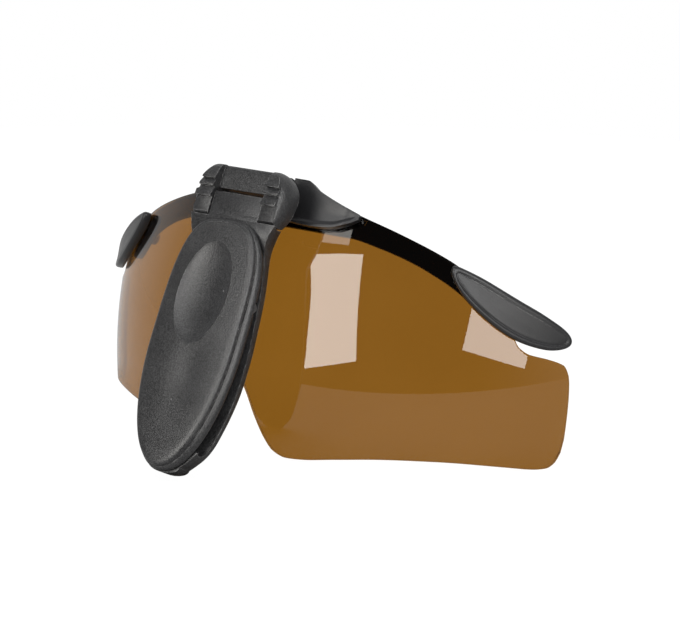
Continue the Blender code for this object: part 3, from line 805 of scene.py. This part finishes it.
def shell_strip(name, columns, rows, low, high, outer, thick, round_over):
    """Strip lying on the lens surface between two edges, with rounded rims."""
    rings = []
    for row in range(rows + 1):
        t = row / rows
        rings.append([shell_point(a, low(a) * (1.0 - t) + high(a) * t, outer) for a in columns])
    ob = make(name, skin(rings, closed=False), lens_matrix())
    centre = lens_matrix() @ (Vector((0.0, RADIUS_ACROSS, 0.0)) * MM)
    face = ob.data.polygons[len(ob.data.polygons) // 2]
    outward = (face.center - centre).dot(face.normal) > 0.0
    mod = ob.modifiers.new("Solidify", "SOLIDIFY")
    mod.thickness = thick * MM
    mod.offset = -1.0 if outward else 1.0
    bake(ob)
    return bevel(ob, round_over, 3, 55.0)


def build_lens():
    """Wrapped lens, its columns closer together towards the ends."""
    columns = []
    for t in np.linspace(-1.0, 1.0, 241):
        columns.append(LENS_HALF_ARC * (0.55 * t + 0.45 * math.sin(t * math.pi / 2.0)))
    lens = shell_strip("lens_glass", columns, 44, lambda a: spline(LENS_BOTTOM, abs(a)),
                       lambda a: spline(LENS_TOP, abs(a)), 0.0, LENS_THICK, 0.22)
    holes = [lens_hole(a, v, -LENS_THICK - 0.6, 0.6) for name, a, v in SCREWS]
    combine(lens, holes, "DIFFERENCE")
    dress(lens, LENS_AMBER, "visor", "lens", "lens_shield")


def build_bar():
    """Brow bar behind the top edge of the lens."""
    outer = -LENS_THICK - GAP
    columns = list(np.linspace(-BAR_END, BAR_END, 157))
    bar = shell_strip("brow_band", columns, 10, lambda a: spline(BAR_BOTTOM, abs(a)),
                      lambda a: spline(BAR_TOP, abs(a)), outer, BAR_THICK, 0.35)
    holes = [lens_hole(a, v, outer - BAR_THICK - 0.6, outer + 0.6) for name, a, v in SCREWS]
    combine(bar, holes, "DIFFERENCE")
    dress(bar, BAR_GLOSS, "visor", "bar", "brow_bar")


def wing_height(along, up, width):
    """Height of a bridge wing over the lens: a lip along the lower edge, a dished face inside it."""
    from_edge = up * width
    dish = 0.45 + 0.9 * math.exp(-(((along - 0.05) / 0.16) ** 2))
    inside = ease(0.55, 1.5, from_edge)
    rise = 1.0 - 0.75 * ease(0.45, 1.0, up)
    tip = ease(1.0, 0.84, along)
    return WING_THICK - dish * inside * rise * tip - 0.5 * ease(0.8, 1.0, along)


def build_wing(sign, side):
    """Bridge wing: a sculpted face on a grid, with walls down to the lens and a flat back."""
    across = 96
    up = 36
    grid = []
    for row in range(up + 1):
        t = row / up
        line = []
        for a in np.linspace(WING_ROOT, WING_TIP, across + 1):
            low = spline(WING_BOTTOM, a)
            high = spline(WING_TOP, a)
            along = (a - WING_ROOT) / (WING_TIP - WING_ROOT)
            line.append((a, low * (1.0 - t) + high * t, wing_height(along, t, high - low)))
        grid.append(line)
    bm = bmesh.new()
    face = [[bm.verts.new(shell_point(sign * a, v, GAP + h)) for a, v, h in line] for line in grid]
    for low, high in zip(face[:-1], face[1:]):
        for c in range(across):
            bm.faces.new((low[c], low[c + 1], high[c + 1], high[c]))
    loop = [(0, c) for c in range(across)] + [(r, across) for r in range(up)]
    loop += [(up, c) for c in range(across, 0, -1)] + [(r, 0) for r in range(up, 0, -1)]
    previous = [face[r][c] for r, c in loop]
    for share in (0.75, 0.5, 0.25, 0.0):
        current = []
        for r, c in loop:
            a, v, h = grid[r][c]
            current.append(bm.verts.new(shell_point(sign * a, v, GAP + h * share)))
        for j in range(len(loop)):
            k = (j + 1) % len(loop)
            bm.faces.new((previous[j], previous[k], current[k], current[j]))
        previous = current
    bm.faces.new(previous)
    wing = make("wing_" + side, bm, lens_matrix())
    bevel(wing, 0.35, 3, 55.0)
    combine(wing, [lens_hole(sign * WING_SCREW[0], WING_SCREW[1], -0.5, 1.8)], "DIFFERENCE")
    dress(wing, TRIM_PLASTIC, "visor", "trim", "bridge_wing_" + side)


# face of an end pad from its edge inwards, as (share of the half width, share of the height)
PAD_RIM = [(0.0, 0.30), (0.0, 0.55), (0.012, 0.72), (0.045, 0.86), (0.10, 0.955), (0.17, 0.99),
           (0.24, 0.985), (0.285, 0.955), (0.31, 0.895), (0.335, 0.875), (0.37, 0.90), (0.43, 0.925),
           (0.52, 0.925), (0.65, 0.915), (0.8, 0.905), (0.92, 0.90)]
PAD_UNDER = [(0.75, 0.0), (0.4, 0.0), (0.12, 0.0), (0.03, 0.0), (0.005, 0.1)]
PAD_GROOVE_START = 0.24        # the groove lies between these shares, and fades out along the top
PAD_GROOVE_END = 0.43
PAD_EVEN_RIM = 0.45            # the rim is equally wide all round up to this share


def build_pad(sign, side):
    """Leaf-shaped end pad, as rings from its flat back over the edge to the middle of its face."""
    middle = (PAD_START + PAD_END) / 2.0
    half = (PAD_END - PAD_START) / 2.0
    count = 192

    def spot(j, share, height):
        angle = math.tau * (j + 0.5) / count
        if PAD_GROOVE_START < share < PAD_GROOVE_END:
            smooth = 0.985 - 0.06 * (share - PAD_GROOVE_START) / (PAD_GROOVE_END - PAD_GROOVE_START)
            height = smooth + (height - smooth) * ease(0.7, -0.5, math.sin(angle))
        reach = 1.0 - min(share, PAD_EVEN_RIM) * PAD_HALF_WIDTH / half
        if share > PAD_EVEN_RIM:
            reach *= (1.0 - share) / (1.0 - PAD_EVEN_RIM)
        a = middle + half * math.cos(angle) * reach
        v = spline(PAD_CENTRE, a) + PAD_HALF_WIDTH * math.sin(angle) * (1.0 - share)
        return shell_point(sign * a, v, GAP + PAD_THICK * height)

    rings = [[spot(j, share, height) for j in range(count)] for share, height in PAD_UNDER + PAD_RIM]
    bottom = shell_point(sign * middle, spline(PAD_CENTRE, middle), GAP)
    top = shell_point(sign * middle, spline(PAD_CENTRE, middle), GAP + PAD_THICK * 0.90)
    pad = make("pad_" + side, skin(rings, bottom, top), lens_matrix())
    combine(pad, [lens_hole(sign * PAD_SCREW[0], PAD_SCREW[1], -0.5, 1.8)], "DIFFERENCE")
    dress(pad, TRIM_PLASTIC, "visor", "trim", "end_pad_" + side, sharp=45.0)


def circle(radius, height, count):
    """Level ring of points."""
    turns = [math.tau * j / count for j in range(count)]
    return [Vector((radius * math.cos(turn), radius * math.sin(turn), height)) for turn in turns]


def build_screw(name, a, v):
    """Pan-head screw driven from behind: domed head, cross recess and a ridged shank."""
    seat = -LENS_THICK - BAR_THICK - 2.0 * GAP
    end = 1.6
    stations = []
    for k in range(1, 9):
        turn = math.pi / 2.0 * k / 8.0
        stations.append((SCREW_HEAD * math.sin(turn), seat - 0.6 - 0.9 * math.cos(turn)))
    stations += [(SCREW_HEAD, seat - 0.12), (SCREW_HEAD - 0.1, seat), (SCREW_RADIUS - 0.12, seat)]
    ridges = 9
    for k in range(ridges):
        low = seat + (end - 0.4 - seat) * k / ridges
        high = seat + (end - 0.4 - seat) * (k + 0.5) / ridges
        stations += [(SCREW_RADIUS - 0.12, low), (SCREW_RADIUS, high)]
    stations += [(SCREW_RADIUS - 0.12, end - 0.4), (SCREW_RADIUS - 0.35, end)]
    rings = [circle(radius, height, 40) for radius, height in stations]
    out = (shell_point(a, v, 1.0) - shell_point(a, v, 0.0)).normalized()
    turn = out.to_track_quat("Z", "Y").to_matrix().to_4x4()
    place = lens_matrix() @ (Matrix.Translation(shell_point(a, v, 0.0) * MM) @ turn)
    body = skin(rings, Vector((0.0, 0.0, seat - 1.5)), Vector((0.0, 0.0, end)))
    ob = make(name + "_turned", body, place)
    slots = []
    for angle in (0.0, math.pi / 2.0):
        bar = bmesh.new()
        bmesh.ops.create_cube(bar, size=1.0)
        shape = Matrix.Rotation(angle, 4, "Z") @ Matrix.Diagonal((1.9, 0.36, 1.3, 1.0))
        bar.transform(Matrix.Translation((0.0, 0.0, seat - 1.5)) @ shape)
        slots.append(make("recess", bar, place))
    combine(ob, slots, "DIFFERENCE")
    dress(ob, STEEL, "visor", "steel", name)


build_paddle()
build_base()
build_yoke()
build_lens()
build_bar()
for sign, side in ((-1.0, "left"), (1.0, "right")):
    build_wing(sign, side)
    build_pad(sign, side)
for name, a, v in SCREWS:
    build_screw(name, a, v)
for name, mat in (("hinge_pin", STEEL), ("grip_rib", RIB_PLASTIC)):
    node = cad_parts[name]
    node.data.materials.clear()
    node.data.materials.append(mat)


# ---------------------------------------------------------------- floor, light and camera

TABLE_RINGS = [(40.0, 0.0), (150.0, 0.0), (300.0, 0.0), (430.0, 0.0), (440.0, -1.0), (445.0, -6.0)]
TABLE_GLOW = 1.12
TABLE_GLOW_SHARE = 0.88
AIM = Vector((0.0, 0.01, 0.04))            # middle of the object, where the lights point
CAMERA_PLACE = (0.32095, -0.41023, 0.17262)
CAMERA_BACK = Vector((0.56255, -0.78501, 0.25943))
CAMERA_RIGHT = Vector((0.81135, 0.58448, 0.00923))
CAMERA_LENS = 120.077
ROOM_LIGHT = 0.05                          # of the world in front of the object
STUDIO_LIGHT = 0.66                        # behind it
CEILING_LIGHT = 0.15
ROOM_TO_STUDIO = (-0.70, 0.05)             # between these values of a direction's Y
WALL_TO_CEILING = (0.62, 0.95)             # between these values of its Z
REAR = -0.2                                # beyond this Y the lens shows plain white
WARM = (1.0, 0.98, 0.94)
WHITE = (1.0, 1.0, 1.0)


def build_floor():
    """Round white table top with a soft edge."""
    rings = [circle(radius, height, 96) for radius, height in TABLE_RINGS]
    floor = make("table", skin(rings, Vector((0.0, 0.0, 0.0))), Matrix.Identity(4))
    floor.data.materials.append(matte_white())
    floor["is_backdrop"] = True


def direction(azimuth, elevation):
    """Unit vector: azimuth 0 looks towards -Y and turns towards +X."""
    az = math.radians(azimuth)
    el = math.radians(elevation)
    return Vector((math.sin(az) * math.cos(el), -math.cos(az) * math.cos(el), math.sin(el)))


def softbox(name, towards, distance, angles, roll, radiance, colour, receivers):
    """Rectangular soft light for some of the pieces.

    towards = azimuth and elevation of its middle; angles = the width and height it fills, seen from
    the object; all in degrees.
    """
    data = bpy.data.lights.new(name, "AREA")
    data.shape = "RECTANGLE"
    data.size = 2.0 * distance * math.tan(math.radians(angles[0]) / 2.0)
    data.size_y = 2.0 * distance * math.tan(math.radians(angles[1]) / 2.0)
    data.energy = radiance * math.pi * data.size * data.size_y
    data.color = colour
    ob = bpy.data.objects.new(name, data)
    away = direction(*towards)
    turn = away.to_track_quat("Z", "Y").to_matrix().to_4x4() @ Matrix.Rotation(math.radians(roll), 4, "Z")
    ob.matrix_world = Matrix.Translation(AIM + away * distance) @ turn
    ob.visible_camera = False
    ob.visible_transmission = False
    bpy.context.scene.collection.objects.link(ob)
    lit = bpy.data.collections.new(name + "_receivers")
    for piece in receivers:
        lit.objects.link(piece)
    ob.light_linking.receiver_collection = lit


def build_world():
    """White studio behind the object, a dim room in front of it and a faint ceiling.

    The camera sees plain white, also through the lens.
    """
    world = bpy.data.worlds.new("studio")
    bpy.context.scene.world = world
    world.use_nodes = True
    wires = Wiring(world.node_tree)
    towards = wires.add("SeparateXYZ")
    wires.link(wires.add("TexCoord").outputs["Generated"], towards.inputs["Vector"])
    behind = wires.span(towards.outputs["Y"], *ROOM_TO_STUDIO, ROOM_LIGHT, STUDIO_LIGHT, "SMOOTHSTEP")
    above = wires.span(towards.outputs["Z"], *WALL_TO_CEILING, 0.0, CEILING_LIGHT, "SMOOTHSTEP")
    path = wires.add("LightPath")
    rear = wires.math("GREATER_THAN", towards.outputs["Y"], REAR)
    through = wires.math("MULTIPLY", path.outputs["Is Transmission Ray"], rear)
    white = wires.math("MAXIMUM", path.outputs["Is Camera Ray"], through)
    strength = wires.math("MAXIMUM", wires.math("MAXIMUM", behind, above), white)
    background = world.node_tree.nodes["Background"]
    background.inputs["Color"].default_value = WHITE + (1.0,)
    wires.link(strength, background.inputs["Strength"])


def build_camera():
    """Camera from its place, the direction behind it and the direction to its right."""
    back = CAMERA_BACK.normalized()
    right = (CAMERA_RIGHT - back * CAMERA_RIGHT.dot(back)).normalized()
    data = bpy.data.cameras.new("camera")
    data.sensor_width = 36.0
    data.lens = CAMERA_LENS
    data.clip_start = 0.01
    camera = bpy.data.objects.new("camera", data)
    turn = Matrix((right, back.cross(right), back)).transposed().to_4x4()
    camera.matrix_world = Matrix.Translation(CAMERA_PLACE) @ turn
    bpy.context.scene.collection.objects.link(camera)
    bpy.context.scene.camera = camera


def build_lights():
    """Three windows that the lens mirrors, two keys for the plastic, and washes for back and table."""
    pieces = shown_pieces()
    table = [bpy.data.objects["table"]]
    polished = [bpy.data.objects[name] for name in ("lens_glass", "brow_band")]
    matt = [ob for ob in pieces if ob not in polished]
    softbox("window_front", (-8.0, 15.3), 3.0, (26.0, 27.0), 12.0, 10.0, WARM, pieces)
    softbox("window_strip", (-17.0, 32.5), 3.0, (22.0, 4.5), 12.0, 4.0, WARM, pieces)
    softbox("window_side", (56.0, 10.5), 3.0, (22.5, 13.0), -18.0, 8.5, WARM, pieces)
    softbox("key_right", (46.0, 30.0), 0.6, (30.0, 22.0), 0.0, 9.0, WHITE, matt)
    softbox("key_front", (-4.0, 46.0), 0.8, (30.0, 20.0), 0.0, 5.0, WHITE, matt)
    softbox("back_wash", (170.0, 55.0), 1.2, (60.0, 40.0), 0.0, 0.6, WHITE, pieces)
    softbox("table_wash", (0.0, 85.0), 1.5, (60.0, 60.0), 0.0, 4.0, WHITE, table)


build_world()
build_floor()
build_lights()
build_camera()
bpy.context.scene.view_settings.view_transform = "Standard"
